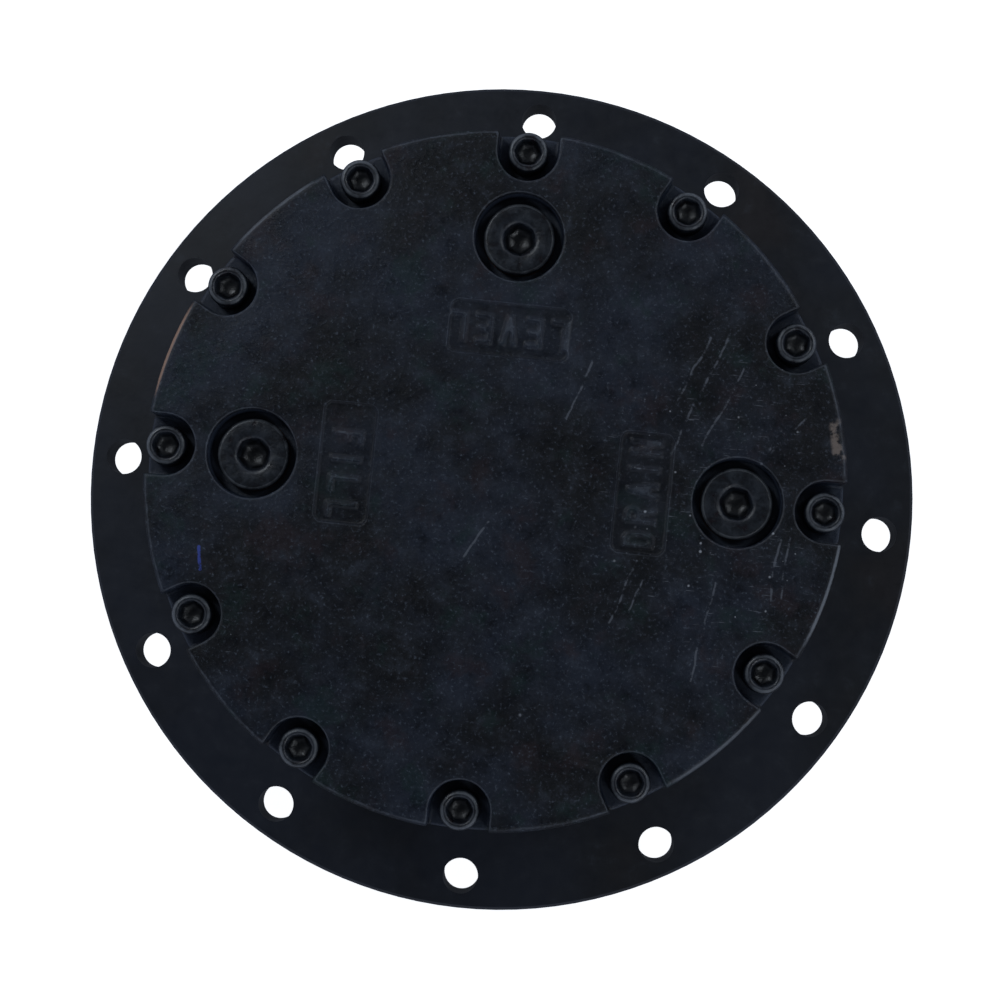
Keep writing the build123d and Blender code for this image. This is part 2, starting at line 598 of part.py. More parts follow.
def plug(direction):
    """A hexagon-socket screw plug with a collar."""
    seat = PLUG_SEAT_Z + PLUG_WASHER
    top = seat + PLUG_COLLAR_HEIGHT
    collar = tube(0, PLUG_COLLAR, seat, top)
    collar = chamfer(collar.edges().filter_by(GeomType.CIRCLE).sort_by(Axis.Z)[-1:], COLLAR_CHAMFER)
    body = collar + tube(0, PLUG_RADIUS, COVER_Z + 1.0, seat)
    body -= hexagon_socket(PLUG_SOCKET, PLUG_SOCKET_DEPTH, top)
    return Rot(0, 0, direction) * Pos(PLUG_CIRCLE, 0, 0) * body


def plug_washers():
    washer = tube(PLUG_RADIUS + 0.2, PLUG_COLLAR, PLUG_SEAT_Z, PLUG_SEAT_Z + PLUG_WASHER)
    return copies(washer, [Rot(0, 0, turn) * Pos(PLUG_CIRCLE, 0, 0) for _, turn, *_ in PORTS])


def thrust_button():
    """The pad that the input shaft's end runs against, its stem pressed into the cover."""
    face = COVER_CEILING_Z - 3.0
    head = tube(0, BUTTON_RADIUS, face - 3.0, face)
    return head + tube(0, BUTTON_RADIUS / 2, face, face + 7.0)


# ---------------------------------------------------------------- gear train
def carrier_1():
    low, high = CARRIER_1_Z, CARRIER_1_Z + CARRIER_1_THICKNESS
    body = tube(0, CARRIER_1_RADIUS, low, high)
    body -= wheel(SUN_2_TEETH, MODULE, 0, low, high, sun_2_turn(), SPLINE_GAP)
    return drilled(body, PIN_1_RADIUS + FIT, planet_1_places(), low, high)


def sun_2_turn():
    return sun_turn(FIRST_PLANET_2, SUN_2_TEETH, PLANET_2_TEETH)


def sun_2():
    low = CARRIER_2_Z + CARRIER_2_THICKNESS + 2 * SIDE
    return wheel(SUN_2_TEETH, MODULE, SUN_2_BORE, low, CARRIER_1_Z + CARRIER_1_THICKNESS, sun_2_turn())


def pins_1():
    pin = tube(0, PIN_1_RADIUS, CARRIER_1_Z + 1.0, PIN_1_TOP)
    slot = tube(PIN_1_RADIUS - 1.5, PIN_1_RADIUS + 1.0, SNAP_RING_Z - FIT, SNAP_RING_Z + SNAP_RING + FIT)
    return copies(pin - slot, planet_1_places())


def snap_rings():
    ring = tube(PIN_1_RADIUS - 1.5 + FIT, PIN_1_RADIUS + 2.5, SNAP_RING_Z, SNAP_RING_Z + SNAP_RING)
    mouth = Pos(PIN_1_RADIUS, 0, SNAP_RING_Z + SNAP_RING / 2) * Box(10.0, 8.0, 2 * SNAP_RING)
    return copies(ring - mouth, planet_1_places())


def planet(teeth, pin, circle, direction, low, face):
    gear = wheel(teeth, MODULE, pin + BUSH_WALL, 0, face, planet_turn(direction, teeth))
    return Pos(circle * math.cos(direction), circle * math.sin(direction), low) * gear


def bush(pin, circle, direction, low, face):
    sleeve = tube(pin + RUN, pin + BUSH_WALL - FIT, 0.5, face - 0.5)
    return Pos(circle * math.cos(direction), circle * math.sin(direction), low) * sleeve


def input_shaft():
    top = PLANET_1_Z + FACE_1 + 1.0
    low = CARRIER_1_Z + CARRIER_1_THICKNESS + 0.5
    turn = sun_turn(FIRST_PLANET_1, SUN_1_TEETH, PLANET_1_TEETH)
    body = wheel(SUN_1_TEETH, MODULE, 0, low, top, turn)
    body += tube(0, SHAFT_RADIUS - 2.0, top - 1.0, COVER_CEILING_Z - 6.0 - 2 * SIDE)
    body += tube(0, SHAFT_RADIUS, COUPLING_Z + COUPLING_LENGTH, low + 1.0)
    return body + wheel(SPLINE_TEETH, SPLINE_MODULE, 0, SHAFT_Z, COUPLING_Z + COUPLING_LENGTH, 0.0)


def input_coupling():
    low, high = COUPLING_Z, COUPLING_Z + COUPLING_LENGTH
    body = tube(0, COUPLING_RADIUS, low, high - 0.5)
    return body - wheel(SPLINE_TEETH, SPLINE_MODULE, 0, low, high, 0.0, SPLINE_GAP)


def parts():
    made = {
        "spindle": spindle(),
        "rear_bearing_inner_ring": inner_ring(REAR_BEARING_Z),
        "front_bearing_inner_ring": inner_ring(FRONT_BEARING_Z),
        "fixed_seal_ring": seal_ring(SEAL_FACE_Z - SIDE / 2, -1),
        "fixed_seal_toric": torus(TORIC_RADIUS, TORIC_SECTION, SEAL_FACE_Z - TORIC_OFFSET),
        "stage_2_carrier": carrier_2(),
        "stage_2_carrier_screws": carrier_2_screws(),
        "stage_2_pins": pins_2(),
        "stage_2_retaining_plate": plate_2(),
        "stage_2_plate_screws": plate_2_screws(),
        "stage_2_thrust_washers": washer_set(PIN_2_RADIUS, FACE_2, planet_2_places(), PLANET_2_Z),
        "rear_bearing_balls": balls(REAR_BEARING_Z),
        "rear_bearing_cage": cage(REAR_BEARING_Z),
        "front_bearing_balls": balls(FRONT_BEARING_Z),
        "front_bearing_cage": cage(FRONT_BEARING_Z),
        "hub": hub(),
        "rear_bearing_outer_ring": outer_ring(
            REAR_BEARING_Z + 1.0, FRONT_BEARING_Z - OUTER_RING_LAND - FIT, REAR_BEARING_Z + BEARING_WIDTH / 2
        ),
        "front_bearing_outer_ring": outer_ring(
            FRONT_BEARING_Z + OUTER_RING_LAND + FIT, CARRIER_2_Z - 1.0, FRONT_BEARING_Z + BEARING_WIDTH / 2
        ),
        "turning_seal_ring": seal_ring(SEAL_FACE_Z + SIDE / 2, 1),
        "turning_seal_toric": torus(TORIC_RADIUS, TORIC_SECTION, SEAL_FACE_Z + TORIC_OFFSET),
        "ring_gear": ring_gear(),
        "hub_o_ring": torus(O_RING_RADIUS, O_RING_SECTION, HUB_TOP_Z - O_RING_SECTION),
        "hub_dowels": dowels(HUB_TOP_Z),
        "cover": cover(),
        "cover_o_ring": torus(O_RING_RADIUS, O_RING_SECTION, COVER_Z + O_RING_SECTION),
        "cover_dowels": dowels(COVER_Z),
        "cover_screws": cover_screws(),
        "plug_washers": plug_washers(),
        "thrust_button": thrust_button(),
        "stage_1_carrier": carrier_1(),
        "stage_2_sun_gear": sun_2(),
        "stage_1_pins": pins_1(),
        "stage_1_snap_rings": snap_rings(),
        "stage_1_thrust_washers": washer_set(PIN_1_RADIUS, FACE_1, planet_1_places(), PLANET_1_Z),
        "input_sun_shaft": input_shaft(),
        "input_coupling": input_coupling(),
    }
    for text, direction, *_ in PORTS:
        made[f"{text.lower()}_plug"] = plug(direction)
    stages = (
        (1, PLANETS_1, FIRST_PLANET_1, PLANET_1_TEETH, PIN_1_RADIUS, PLANET_1_CIRCLE, PLANET_1_Z, FACE_1),
        (2, PLANETS_2, FIRST_PLANET_2, PLANET_2_TEETH, PIN_2_RADIUS, PLANET_2_CIRCLE, PLANET_2_Z, FACE_2),
    )
    for stage, count, first, teeth, pin, circle, low, face in stages:
        for i in range(count):
            direction = first + 2 * math.pi * i / count
            made[f"stage_{stage}_planet_{i + 1}"] = planet(teeth, pin, circle, direction, low, face)
            made[f"stage_{stage}_bush_{i + 1}"] = bush(pin, circle, direction, low, face)
    return made


os.makedirs("parts", exist_ok=True)
for name, shape in parts().items():
    export_step(shape, f"parts/{name}.step")
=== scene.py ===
"""The finish of a planetary track drive: black enamel over castings and machined steel, bare bearings and
gears inside, on a pale floor under soft studio light."""

import json
import math

import bmesh
import bpy
from mathutils import Matrix, Vector


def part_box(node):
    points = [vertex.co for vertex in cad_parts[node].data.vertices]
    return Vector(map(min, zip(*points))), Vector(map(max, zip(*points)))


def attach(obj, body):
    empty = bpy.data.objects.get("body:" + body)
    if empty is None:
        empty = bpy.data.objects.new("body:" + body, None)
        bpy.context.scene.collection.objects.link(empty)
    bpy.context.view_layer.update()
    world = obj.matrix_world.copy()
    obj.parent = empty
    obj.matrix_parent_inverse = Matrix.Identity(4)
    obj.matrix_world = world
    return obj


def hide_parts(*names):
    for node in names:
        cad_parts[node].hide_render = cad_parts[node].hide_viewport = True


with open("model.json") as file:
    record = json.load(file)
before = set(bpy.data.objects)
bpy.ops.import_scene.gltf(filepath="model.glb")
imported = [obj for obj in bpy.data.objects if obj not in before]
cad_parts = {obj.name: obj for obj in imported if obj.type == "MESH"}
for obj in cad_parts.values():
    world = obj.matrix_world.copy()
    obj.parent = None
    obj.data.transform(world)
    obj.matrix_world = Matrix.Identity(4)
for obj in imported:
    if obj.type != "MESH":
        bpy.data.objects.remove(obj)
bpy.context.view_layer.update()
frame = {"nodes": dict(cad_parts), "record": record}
nodes = frame["nodes"]

MM = 0.001


# ---------------------------------------------------------------- sizes read from the frame, in millimetres
def box_mm(node):
    """A node's lowest and highest corners at rest, in millimetres."""
    low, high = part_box(node)
    return low / MM, high / MM


cover_low, cover_high = box_mm("cover")
COVER_RADIUS = cover_high.x
COVER_TOP = cover_high.z
screws_low, screws_high = box_mm("cover_screws")
HEAD_RADIUS = 9.0
HEAD_HEIGHT = 12.0
SHANK_RADIUS = 6.0
SCREW_CIRCLE = screws_high.x - HEAD_RADIUS
SCREWS = 12
SCREW_STEP = 360 / SCREWS
SCREW_EDGE = HEAD_RADIUS - 1.2  # radius of the paler ring on a cap screw's rounded edge: painted highlight and rubbed wear
SCREW_SOCKET = 5.2  # radius of the painted shade inside a cap screw's socket
plug_low, plug_high = box_mm("level_plug")
COLLAR_RADIUS = (plug_high.x - plug_low.x) / 2
COLLAR_HEIGHT = 5.0
PLUG_RADIUS = 13.2
PLUG_CIRCLE = (plug_low.y + plug_high.y) / 2
PLUGS = {"level_plug": 90.0, "fill_plug": 180.0, "drain_plug": 0.0}  # degrees from +X
PLUG_STEP = 90.0
# radius of the paler ring on a plug collar's rounded edge: painted highlight and rubbed wear
PLUG_EDGE = COLLAR_RADIUS - 0.7
# radius of the painted shade inside a plug's socket
PLUG_SOCKET = 6.4
mounts = {mount["name"]: mount for mount in frame["record"]["mounts"]}
FLANGE_TOP = mounts["sprocket_bolts"]["pos_m"][2]  # metres
PORT_NAMES = 66.0  # distance of the sunk pads' middles from the axis
POCKET_GAP = 5.0  # room round a screw's or plug's head in its pocket


# ---------------------------------------------------------------- small tools
def colour(text):
    """Linear colour from an sRGB hex value."""
    parts = [int(text[i : i + 2], 16) / 255 for i in (1, 3, 5)]
    return tuple(c / 12.92 if c <= 0.04045 else ((c + 0.055) / 1.055) ** 2.4 for c in parts) + (1.0,)


SMOOTH = {"interpolation_type": "SMOOTHSTEP"}
FOUR_D = {"noise_dimensions": "4D"}


def add(tree, kind, inputs=None, **settings):
    """A node with its settings, its input values and the links to its inputs."""
    made = tree.nodes.new(kind)
    for name, value in settings.items():
        setattr(made, name, value)
    for key, value in (inputs or {}).items():
        if isinstance(value, bpy.types.Node):
            value = value.outputs[0]
        if isinstance(value, bpy.types.NodeSocket):
            tree.links.new(value, made.inputs[key])
        else:
            made.inputs[key].default_value = value
    return made


def new_object(name, data):
    """An object with its mesh, light or camera, in the scene."""
    made = bpy.data.objects.new(name, data)
    bpy.context.scene.collection.objects.link(made)
    return made


def material(name):
    """An empty material, its shader, and Object coordinates in millimetres."""
    made = bpy.data.materials.new(name)
    made.use_nodes = True
    tree = made.node_tree
    tree.nodes.clear()
    shader = add(tree, "ShaderNodeBsdfPrincipled")
    add(tree, "ShaderNodeOutputMaterial", {"Surface": shader})
    place = add(tree, "ShaderNodeTexCoord")
    mm = add(tree, "ShaderNodeVectorMath", {0: place.outputs["Object"], 3: 1 / MM}, operation="SCALE")
    return made, tree, shader, mm


def laid_over(tree, under, over, pattern, low, high, share=1.0, within=()):
    """The colour over, laid on under where a pattern goes from low to high, by share at most.

    The patterns of within are multiplied into the pattern first, so it shows only where they are all high.
    """
    for other in within:
        pattern = add(tree, "ShaderNodeMath", {0: pattern, 1: other}, operation="MULTIPLY")
    amount = add(tree, "ShaderNodeMapRange", {0: pattern, 1: low, 2: high, 4: share}, **SMOOTH)
    return add(tree, "ShaderNodeMix", {0: amount, 6: under, 7: over}, data_type="RGBA").outputs[2]


def turned_place(tree, mm):
    """Radius from the drive's axis, angle round it in degrees, and height, all read from the place."""
    place = add(tree, "ShaderNodeSeparateXYZ", {0: mm})
    flat = add(tree, "ShaderNodeVectorMath", {0: mm, 1: (1, 1, 0)}, operation="MULTIPLY")
    radius = add(tree, "ShaderNodeVectorMath", {0: flat}, operation="LENGTH").outputs["Value"]
    angle = add(tree, "ShaderNodeMath", {0: place.outputs[1], 1: place.outputs[0]}, operation="ARCTAN2")
    degrees = add(tree, "ShaderNodeMath", {0: angle}, operation="DEGREES")
    return radius, degrees.outputs[0], place.outputs[2]


def near(tree, value, middle, reach):
    """1 where a value is at middle, falling smoothly to 0 at reach from it."""
    away = add(tree, "ShaderNodeMath", {0: value, 1: middle}, operation="SUBTRACT")
    away = add(tree, "ShaderNodeMath", {0: away}, operation="ABSOLUTE")
    return add(tree, "ShaderNodeMapRange", {0: away, 1: reach, 2: 0.4 * reach}, **SMOOTH)


def from_axes(tree, radius, angle, circle, step):
    """Distance from the nearest of the upright axes that stand every step degrees on a circle."""
    folded = add(tree, "ShaderNodeMath", {0: angle, 1: step / 2, 2: -step / 2}, operation="WRAP")
    turn = add(tree, "ShaderNodeMath", {0: folded}, operation="RADIANS")
    outward = add(tree, "ShaderNodeCombineXYZ", {0: radius})
    spot = add(tree, "ShaderNodeVectorRotate", {"Vector": outward, "Angle": turn}, rotation_type="Z_AXIS")
    away = add(tree, "ShaderNodeVectorMath", {0: spot, 1: (circle, 0, 0)}, operation="DISTANCE")
    return away.outputs["Value"]


def scratch(tree, mm, start, end, width):
    """High along a straight scratch between two places on the cover. All the sizes are in millimetres."""
    run = Vector((end[0] - start[0], end[1] - start[1], 0))
    flat = add(tree, "ShaderNodeVectorMath", {0: mm, 1: (1, 1, 0)}, operation="MULTIPLY")
    from_start = add(tree, "ShaderNodeVectorMath", {0: flat, 1: (*start, 0)}, operation="SUBTRACT")
    along = add(tree, "ShaderNodeVectorMath", {0: from_start, 1: run / run.length_squared},
                operation="DOT_PRODUCT").outputs["Value"]
    along = add(tree, "ShaderNodeClamp", {0: along})
    foot = add(tree, "ShaderNodeVectorMath", {0: run, 3: along}, operation="SCALE")
    away = add(tree, "ShaderNodeVectorMath", {0: from_start, 1: foot}, operation="DISTANCE")
    return add(tree, "ShaderNodeMapRange", {0: away.outputs["Value"], 1: width, 2: 0.3 * width}, **SMOOTH)


# ---------------------------------------------------------------- materials
def cast_skin(tree, mm, shader, grain, pits):
    """The relief of a sand casting under thick paint: a pebbled skin and slow waves, with a few pits."""
    waves = add(tree, "ShaderNodeTexNoise", {"Vector": mm, "Scale": 1 / 11, "Detail": 3.0, "Roughness": 0.5})
    relief = add(tree, "ShaderNodeBump", {"Height": grain, "Strength": 0.6, "Distance": 0.35 * MM})
    for height, strength, depth in ((waves, 0.4, 1.3 * MM), (pits, 0.25, 0.3 * MM)):
        relief = add(tree, "ShaderNodeBump",
                     {"Height": height, "Strength": strength, "Distance": depth, "Normal": relief})
    tree.links.new(relief.outputs[0], shader.inputs["Normal"])


WARM, COOL_RUB_AND_HIGHLIGHT = "#9a7a66", "#7c8084"  # rubbed through to primer and iron; pale grey, rubbed dull in one place and a painted highlight in two
# worn places and painted highlights on the cover's rim: angle in degrees, reach in degrees, colour, how
# bright. The places at 164 and 135 degrees are wear, those at -13 and -44 degrees painted highlights
RIM_WEAR_AND_HIGHLIGHTS = ((164, 11, WARM, 1.0), (135, 11, COOL_RUB_AND_HIGHLIGHT, 0.4), (-13, 13, COOL_RUB_AND_HIGHLIGHT, 0.65), (-44, 15, COOL_RUB_AND_HIGHLIGHT, 0.4))
# scratches on the cover's face, millimetres from the axis: start, end
SCRATCHES = (((130, -12), (128, -39)), ((134, -11), (133, -38)), ((99, 76), (77, 16)),
             ((107, 62), (92, 26)), ((91, 74), (80, 44)), ((136, 42), (118, 20)),
             ((127, 38), (113, 8)), ((68, -28), (59, -56)), ((73, -34), (66, -52)),
             ((40, 57), (31, 31)), ((104, -34), (97, -78)), ((-8, -34), (2, -18)))
BLUE_FLECK = ((-124, -41), (-123, -51))  # a touch of blue paint, start and end
SCRATCH_WIDTH = 0.7  # millimetres to each side of its middle
FLECK_WIDTH = 1.2


def cloudy_black(tree, mm, patches, grain):
    """Black in cloudy tones, faintly red and green in places, pebbled light and dark."""
    clouds = add(tree, "ShaderNodeTexNoise",
                 {"Vector": mm, "Scale": 1 / 50, "Detail": 5.0, "Roughness": 0.6})
    tints = add(tree, "ShaderNodeTexNoise",
                {"Vector": mm, "Scale": 1 / 26, "Detail": 5.0, "Roughness": 0.65, "W": 4.0}, **FOUR_D)
    tone = laid_over(tree, colour("#07090d"), colour("#1a202b"), clouds, 0.36, 0.64)
    tone = laid_over(tree, tone, colour("#2d343f"), patches, 0.5, 0.74, 0.6)
    tone = laid_over(tree, tone, colour("#23171b"), tints, 0.54, 0.66, 0.5)
    tone = laid_over(tree, tone, colour("#0c2422"), tints, 0.46, 0.36, 0.45)
    tone = laid_over(tree, tone, colour("#020307"), patches, 0.48, 0.32, 0.6)
    tone = laid_over(tree, tone, colour("#4b525c"), grain, 0.54, 0.72, 0.75)
    return laid_over(tree, tone, colour("#020306"), grain, 0.46, 0.3, 0.6)


def chips(tree, mm):
    """1 in the middle of small round chips of uneven size."""
    cells = add(tree, "ShaderNodeTexVoronoi", {"Vector": mm, "Scale": 1 / 3.8, "Randomness": 1.0})
    sizes = add(tree, "ShaderNodeMapRange", {0: cells.outputs["Color"], 1: 0.6, 2: 1.0, 3: 0.02, 4: 0.42})
    return add(tree, "ShaderNodeMapRange", {0: cells.outputs["Distance"], 1: sizes, 2: 0.02}, **SMOOTH)


def much_handled(tree, mm, radius, angle):
    """High where the cover was dragged and knocked about: towards the drain plug, and in odd patches."""
    dragged = add(tree, "ShaderNodeMath", {0: near(tree, radius, 100, 62), 1: near(tree, angle, 0, 48)},
                  operation="MULTIPLY")
    lively = add(tree, "ShaderNodeTexNoise",
                 {"Vector": mm, "Scale": 1 / 34, "Detail": 4.0, "Roughness": 0.6, "W": 9.0}, **FOUR_D)
    knocked = add(tree, "ShaderNodeMapRange", {0: lively, 1: 0.56, 2: 0.78}, **SMOOTH)
    return add(tree, "ShaderNodeMath", {0: dragged, 1: knocked}, operation="MAXIMUM")


def scratched(tree, mm, tone, handled, on_top, broken):
    """The tone with fine scuffs in two directions, the cover's scratches and the fleck of blue."""
    for turn, offset in ((0.9, 2.0), (-0.5, 7.0)):
        swung = add(tree, "ShaderNodeMapping",
                    {"Vector": mm, "Rotation": (0, 0, turn), "Scale": (1 / 10, 1 / 0.8, 1)})
        rubs = add(tree, "ShaderNodeTexNoise",
                   {"Vector": swung, "W": offset, "Scale": 1.0, "Detail": 3.0}, **FOUR_D)
        thin = add(tree, "ShaderNodeMapRange", {0: rubs, 1: 0.62, 2: 0.76}, **SMOOTH)
        tone = laid_over(tree, tone, colour("#6a6e75"), thin, 0.02, 0.4, 0.5,
                         within=(handled, on_top, broken))
    sway = add(tree, "ShaderNodeTexNoise", {"Vector": mm, "Scale": 1 / 18, "Detail": 2.0}).outputs["Color"]
    shaken = add(tree, "ShaderNodeVectorMath", {0: sway, 1: (4, 4, 0), 2: mm}, operation="MULTIPLY_ADD")
    for start, end in SCRATCHES:
        line = scratch(tree, shaken, start, end, SCRATCH_WIDTH)
        tone = laid_over(tree, tone, colour("#5e6269"), line, 0.05, 0.7, 0.55, within=(broken, on_top))
    fleck = scratch(tree, shaken, *BLUE_FLECK, FLECK_WIDTH)
    return laid_over(tree, tone, colour("#3a4a9a"), fleck, 0.2, 0.8, 0.75, within=(broken, on_top))


def rim_wear_and_highlights(tree, tone, radius, angle, on_top, patches, broken):
    """The tone with the rim's worn places, painted highlights on the rim at -13 and -44 degrees, and one
    dent beside the drain plug.
    """
    rim = near(tree, radius, COVER_RADIUS - 0.4, 1.9)
    # pale marks along the rim: wear at 164 and 135 degrees, painted highlights at -13 and -44 degrees
    for middle, reach, shown, strength in RIM_WEAR_AND_HIGHLIGHTS:
        rim_mark = near(tree, angle, middle, reach)
        tone = laid_over(tree, tone, colour(shown), rim, 0.1, 0.5, strength,
                         within=(rim_mark, on_top, patches))
    dent = near(tree, radius, COVER_RADIUS - 3, 5)
    return laid_over(tree, tone, colour("#85776c"), dent, 0.1, 0.9, 0.6,
                     within=(near(tree, angle, 12, 5), broken))


def recesses(tree, tone, radius, angle, height, patches):
    """The tone with painted shade in the sunk pads, a paler band on the shoulders of rounded edges in
    patches, painted highlight and rubbed wear, and a paler grey-blue deep in the pockets.
    """
    in_cover = add(tree, "ShaderNodeMapRange", {0: height, 1: cover_low.z - 0.5, 2: cover_low.z})
    # painted shade: the floors of the sunk pads and the feet of their letters are darkened
    sunk = add(tree, "ShaderNodeMapRange", {0: height, 1: COVER_TOP - 0.5, 2: COVER_TOP - 1.3})
    pads = near(tree, radius, PORT_NAMES, 30)
    tone = laid_over(tree, tone, colour("#030409"), sunk, 0.0, 1.0, 0.3, within=(pads, in_cover))
    # painted highlight and rubbed wear: a paler band where rounded edges fall just under the top face
    shoulder = near(tree, height, COVER_TOP - 0.32, 0.3)
    tone = laid_over(tree, tone, colour("#5f656d"), shoulder, 0.32, 0.7, 0.4, within=(patches,))
    # a paler grey-blue deep in the screw and plug pockets
    deep = add(tree, "ShaderNodeMapRange", {0: height, 1: COVER_TOP - 1.5, 2: COVER_TOP - 5})
    for circle, step, head in ((SCREW_CIRCLE, SCREW_STEP, HEAD_RADIUS),
                               (PLUG_CIRCLE, PLUG_STEP, COLLAR_RADIUS)):
        away = from_axes(tree, radius, angle, circle, step)
        reach = head + POCKET_GAP
        pocket = add(tree, "ShaderNodeMapRange", {0: away, 1: reach + 1, 2: reach})
        tone = laid_over(tree, tone, colour("#2c3340"), deep, 0.0, 1.0, 0.75, within=(pocket, in_cover))
    return tone


def cover_enamel():
    """Black air-drying enamel brushed thickly on a sand casting, then handled and dragged about.

    The eye gets a pebbled surface in cloudy tones, pale specks and fine scuffs, a paler grey-blue deep in
    the pockets, painted shade in the sunk pads, painted highlights on rounded edges and on the rim, and a
    rim rubbed through to primer and iron in a few places. The coat has dulled, and shines less than fresh
    enamel.
    """
    made, tree, shader, mm = material("enamel_on_sand_casting")
    radius, angle, height = turned_place(tree, mm)
    patches = add(tree, "ShaderNodeTexNoise",
                  {"Vector": mm, "Scale": 1 / 13, "Detail": 7.0, "Roughness": 0.75})
    grain = add(tree, "ShaderNodeTexNoise",
                {"Vector": mm, "Scale": 1 / 1.6, "Detail": 5.0, "Roughness": 0.75})
    dots = chips(tree, mm)
    handled = much_handled(tree, mm, radius, angle)
    on_top = add(tree, "ShaderNodeMapRange", {0: height, 1: COVER_TOP - 2, 2: COVER_TOP - 0.8})
    broken = add(tree, "ShaderNodeMapRange", {0: patches, 1: 0.42, 2: 0.62}, **SMOOTH)
    tone = cloudy_black(tree, mm, patches, grain)
    tone = laid_over(tree, tone, colour("#9a9da2"), dots, 0.04, 0.5, 0.75, within=(handled, grain))
    tone = scratched(tree, mm, tone, handled, on_top, broken)
    tone = rim_wear_and_highlights(tree, tone, radius, angle, on_top, patches, broken)
    tone = recesses(tree, tone, radius, angle, height, patches)
    tree.links.new(tone, shader.inputs["Base Color"])
    rough = add(tree, "ShaderNodeMapRange", {0: patches, 1: 0.3, 2: 0.7, 3: 0.3, 4: 0.58})
    tree.links.new(rough.outputs[0], shader.inputs["Roughness"])
    shader.inputs["Specular IOR Level"].default_value = 0.3
    cast_skin(tree, mm, shader, grain, dots)
    return made


def machined_enamel():
    """Black enamel sprayed over turned steel: smooth satin with a faint orange peel and a little dust.

    The peel is drawn at 2 mm, coarser than the real thing, so that it shows.
    """
    made, tree, shader, mm = material("enamel_on_turned_steel")
    clouds = add(tree, "ShaderNodeTexNoise", {"Vector": mm, "Scale": 1 / 80, "Detail": 4.0})
    peel = add(tree, "ShaderNodeTexNoise", {"Vector": mm, "Scale": 1 / 2.2, "Detail": 3.0})
    dust = add(tree, "ShaderNodeTexNoise", {"Vector": mm, "Scale": 1 / 9, "Detail": 7.0, "Roughness": 0.75})
    tone = laid_over(tree, colour("#0c0f15"), colour("#161b25"), clouds, 0.35, 0.62)
    tone = laid_over(tree, tone, colour("#211b1b"), clouds, 0.42, 0.3, 0.5)
    tone = laid_over(tree, tone, colour("#272d36"), dust, 0.55, 0.75, 0.5)
    tree.links.new(tone, shader.inputs["Base Color"])
    rough = add(tree, "ShaderNodeMapRange", {0: dust, 1: 0.3, 2: 0.7, 3: 0.36, 4: 0.48})
    tree.links.new(rough.outputs[0], shader.inputs["Roughness"])
    bump = add(tree, "ShaderNodeBump", {"Height": peel, "Strength": 0.3, "Distance": 0.08 * MM})
    tree.links.new(bump.outputs[0], shader.inputs["Normal"])
    return made


def screw_enamel(name, circle, step, edge, socket):
    """Enamel flooded over screws on a circle: painted shade in the socket, and a paler ring on the head's
    edge, painted highlight and rubbed wear.

    edge and socket are distances in millimetres from the nearest screw's axis.
    """
    made, tree, shader, mm = material(name)
    radius, angle, height = turned_place(tree, mm)
    away = from_axes(tree, radius, angle, circle, step)
    patches = add(tree, "ShaderNodeTexNoise",
                  {"Vector": mm, "Scale": 1 / 6, "Detail": 6.0, "Roughness": 0.7})
    grain = add(tree, "ShaderNodeTexNoise",
                {"Vector": mm, "Scale": 1 / 1.6, "Detail": 4.0, "Roughness": 0.65})
    tone = laid_over(tree, colour("#0b0e13"), colour("#20252c"), patches, 0.36, 0.64)
    tone = laid_over(tree, tone, colour("#231a1e"), patches, 0.44, 0.34, 0.5)
    tone = laid_over(tree, tone, colour("#3a3e44"), grain, 0.54, 0.76, 0.5)
    # painted highlight and rubbed wear: a paler ring on the head's rounded edge
    ring = near(tree, away, edge, 1.1)
    tone = laid_over(tree, tone, colour("#5d6166"), ring, 0.25, 0.62, 0.7, within=(patches,))
    # painted shade: dark inside the socket
    tone = laid_over(tree, tone, colour("#030406"), away, socket + 0.6, socket - 1.2, 0.8)
    tree.links.new(tone, shader.inputs["Base Color"])
    rough = add(tree, "ShaderNodeMapRange", {0: patches, 1: 0.3, 2: 0.7, 3: 0.24, 4: 0.45})
    tree.links.new(rough.outputs[0], shader.inputs["Roughness"])
    fine = add(tree, "ShaderNodeBump", {"Height": grain, "Strength": 0.4, "Distance": 0.2 * MM})
    slow = add(tree, "ShaderNodeBump",
               {"Height": patches, "Strength": 0.45, "Distance": 0.8 * MM, "Normal": fine})
    tree.links.new(slow.outputs[0], shader.inputs["Normal"])
    return made


def bare_metal(name, dark, light, roughness, mark):
    """Bare metal, ground, milled or turned: a clean sheen broken by faint tool marks.

    mark is how far apart the marks are in millimetres, wide enough to show.
    """
    made, tree, shader, mm = material(name)
    marks = add(tree, "ShaderNodeTexNoise", {"Vector": mm, "Scale": 1 / mark, "Detail": 5.0})
    tone = laid_over(tree, colour(dark), colour(light), marks, 0.3, 0.7)
    tree.links.new(tone, shader.inputs["Base Color"])
    shader.inputs["Metallic"].default_value = 1.0
    rough = add(tree, "ShaderNodeMapRange",
                {0: marks, 1: 0.3, 2: 0.7, 3: roughness - 0.06, 4: roughness + 0.08})
    tree.links.new(rough.outputs[0], shader.inputs["Roughness"])
    bump = add(tree, "ShaderNodeBump", {"Height": marks, "Strength": 0.2, "Distance": 0.05 * MM})
    tree.links.new(bump.outputs[0], shader.inputs["Normal"])
    return made


def nitrile_rubber():
    """Moulded black rubber with a faint grey bloom."""
    made, tree, shader, mm = material("moulded_nitrile_rubber")
    bloom = add(tree, "ShaderNodeTexNoise", {"Vector": mm, "Scale": 1 / 9, "Detail": 4.0})
    tone = laid_over(tree, colour("#151515"), colour("#262626"), bloom, 0.35, 0.7)
    tree.links.new(tone, shader.inputs["Base Color"])
    shader.inputs["Roughness"].default_value = 0.6
    bump = add(tree, "ShaderNodeBump", {"Height": bloom, "Strength": 0.1, "Distance": 0.05 * MM})
    tree.links.new(bump.outputs[0], shader.inputs["Normal"])
    return made


